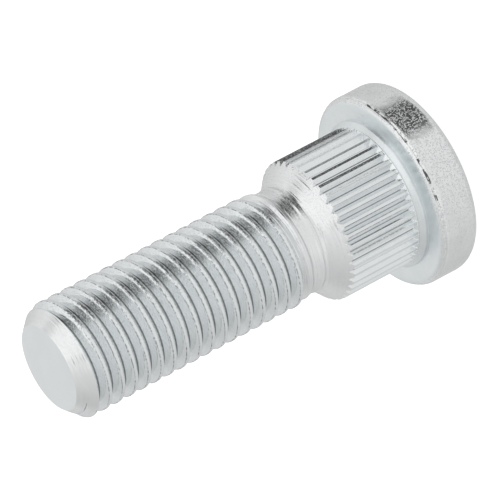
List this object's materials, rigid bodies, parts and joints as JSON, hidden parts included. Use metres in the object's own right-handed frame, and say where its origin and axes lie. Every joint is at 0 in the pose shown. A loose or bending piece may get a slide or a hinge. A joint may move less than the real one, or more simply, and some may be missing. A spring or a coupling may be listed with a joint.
{
  "type": "wheel stud",
  "caption": "Press-in wheel stud with a round flanged head, a straight-knurled shank, a tapered neck and a chamfered right-hand metric thread, zinc plated.",
  "frame": {"origin": "centre of the head's end face, on which the stud stands", "axes": "+Z along the stud's axis, from the head to the tip of the thread"},
  "size_m": [0.0202, 0.0202, 0.044],
  "materials": {
    "zinc_plate": "bright zinc plate over forged, turned and rolled steel"
  },
  "bodies": {
    "root": {"wheel_stud": "zinc_plate"}
  },
  "joints": []
}
